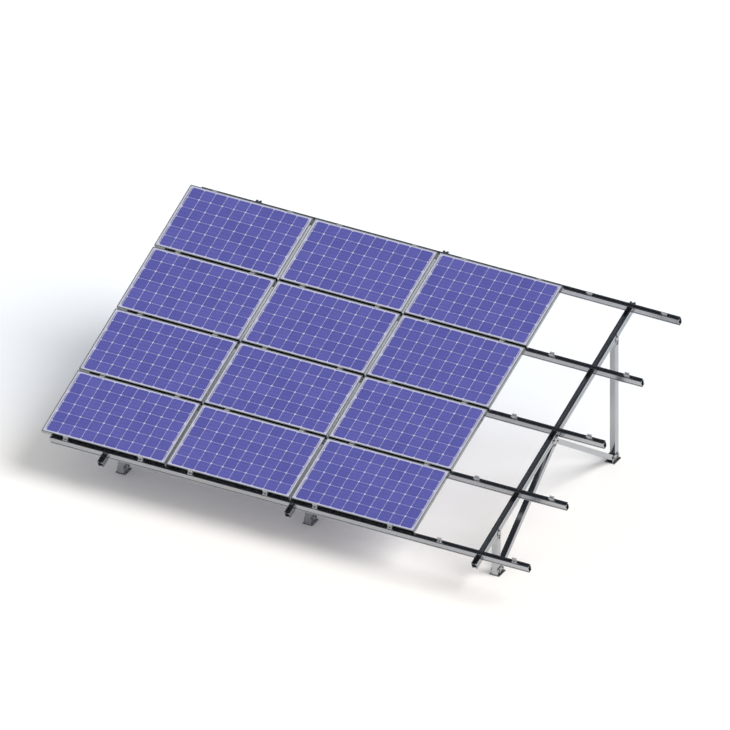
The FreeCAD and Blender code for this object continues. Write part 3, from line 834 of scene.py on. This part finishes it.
def photo_camera():
    """Parallel view in the photograph's direction and at its scale."""
    camera = bpy.data.cameras.new("photo_camera")
    camera.type = "ORTHO"
    camera.ortho_scale = IMAGE_SIZE / PIXELS_PER_METRE
    camera.clip_end = 4 * CAMERA_DISTANCE
    away = Vector((math.sin(VIEW_AZIMUTH) * math.cos(VIEW_ELEVATION),
                   -math.cos(VIEW_AZIMUTH) * math.cos(VIEW_ELEVATION), math.sin(VIEW_ELEVATION)))
    turn = away.to_track_quat("Z", "Y")
    right = turn @ Vector((1.0, 0.0, 0.0))
    up = turn @ Vector((0.0, 1.0, 0.0))
    half = IMAGE_SIZE / 2
    target = right * (half - ORIGIN_PIXEL[0]) + up * (ORIGIN_PIXEL[1] - half)
    holder = bpy.data.objects.new("photo_camera", camera)
    holder.location = target / PIXELS_PER_METRE + away * CAMERA_DISTANCE
    holder.rotation_euler = turn.to_euler()
    bpy.context.collection.objects.link(holder)
    bpy.context.scene.camera = holder


# Finishes of the framed nodes

def dress(node, material):
    """Gives a node of the frame its material in every slot."""
    piece = bpy.data.objects[node]
    if not piece.material_slots:
        piece.data.materials.append(material)
    for holder in piece.material_slots:
        holder.link = "OBJECT"
        holder.material = material


def brace_angles():
    """Angles of the front and rear brace above the y axis, and the y where they meet."""
    foot = solids("braces_left")
    radius = SHOE_PIVOT_HEIGHT - min(box[0].z for box in foot)
    angles = []
    for low, high in foot:
        size = high - low
        angles.append(math.atan2(size.z - 2 * radius, size.y - 2 * radius))
    return angles[0], -angles[1], (foot[0][1].y + foot[1][0].y) / 2


def dress_frame():
    bright = ("#B2B5BA", "#BFC1C5")
    rail = extruded_aluminium("mill_aluminium_rail", None, bright)
    rafter = extruded_aluminium("mill_aluminium_rafter", TILT, bright)
    leg = extruded_aluminium("mill_aluminium_leg", math.pi / 2, bright)
    brace = extruded_aluminium("mill_aluminium_brace", brace_streaks(*brace_angles()), bright)
    bracket = pressed_aluminium("pressed_aluminium_bracket")
    clamp = pressed_aluminium("anodised_aluminium_clamp", ("#BFC1C4", "#CDCFD1"), 0.4, (0.42, 0.52))
    for side in SUPPORTS:
        dress("rafter_" + side, rafter)
        dress("braces_" + side, brace)
        dress("forks_" + side, bracket)
        for place in ("front", "rear"):
            dress("%s_leg_%s" % (place, side), leg)
            dress("%s_foot_%s" % (place, side), bracket)
    for number in range(1, RAILS + 1):
        dress("rail_%d" % number, rail)
    for node in ("mid_clamps", "end_clamps", "rail_clips"):
        dress(node, clamp)
    # Module frames with painted shading on their up-facing lip.
    lip = module_frame_with_painted_lip_shading()
    glass = backed_glass()
    for column in range(1, MODULE_COLUMNS + 1):
        dress("laminates_column_%d" % column, glass)
        for row in range(1, MODULE_ROWS + 1):
            dress("module_frame_r%d_c%d" % (row, column), lip)
    dress("junction_boxes", moulded_plastic())


def make_cells():
    silicon = silicon_cells()
    copper = tinned_copper()
    for column in range(1, MODULE_COLUMNS + 1):
        wafers, centre, level, row_step = cell_block(column)
        ribbons = ribbon_block(column, centre, level, row_step)
        for piece, material in ((wafers, silicon), (ribbons, copper)):
            piece.data.transform(SLOPE)
            finished(piece, material)


def make_bolts():
    steel = stainless_steel()
    for side in SUPPORTS:
        for bolts in support_bolts(side):
            finished(bolts, steel)
    finished(clip_bolts(), steel)
    finished(clamp_bolts(), steel)


photo_camera()
studio_world()
studio_floor()
key_lamp()
dress_frame()
make_cells()
make_bolts()

scene = bpy.context.scene
scene.view_settings.view_transform = "Standard"
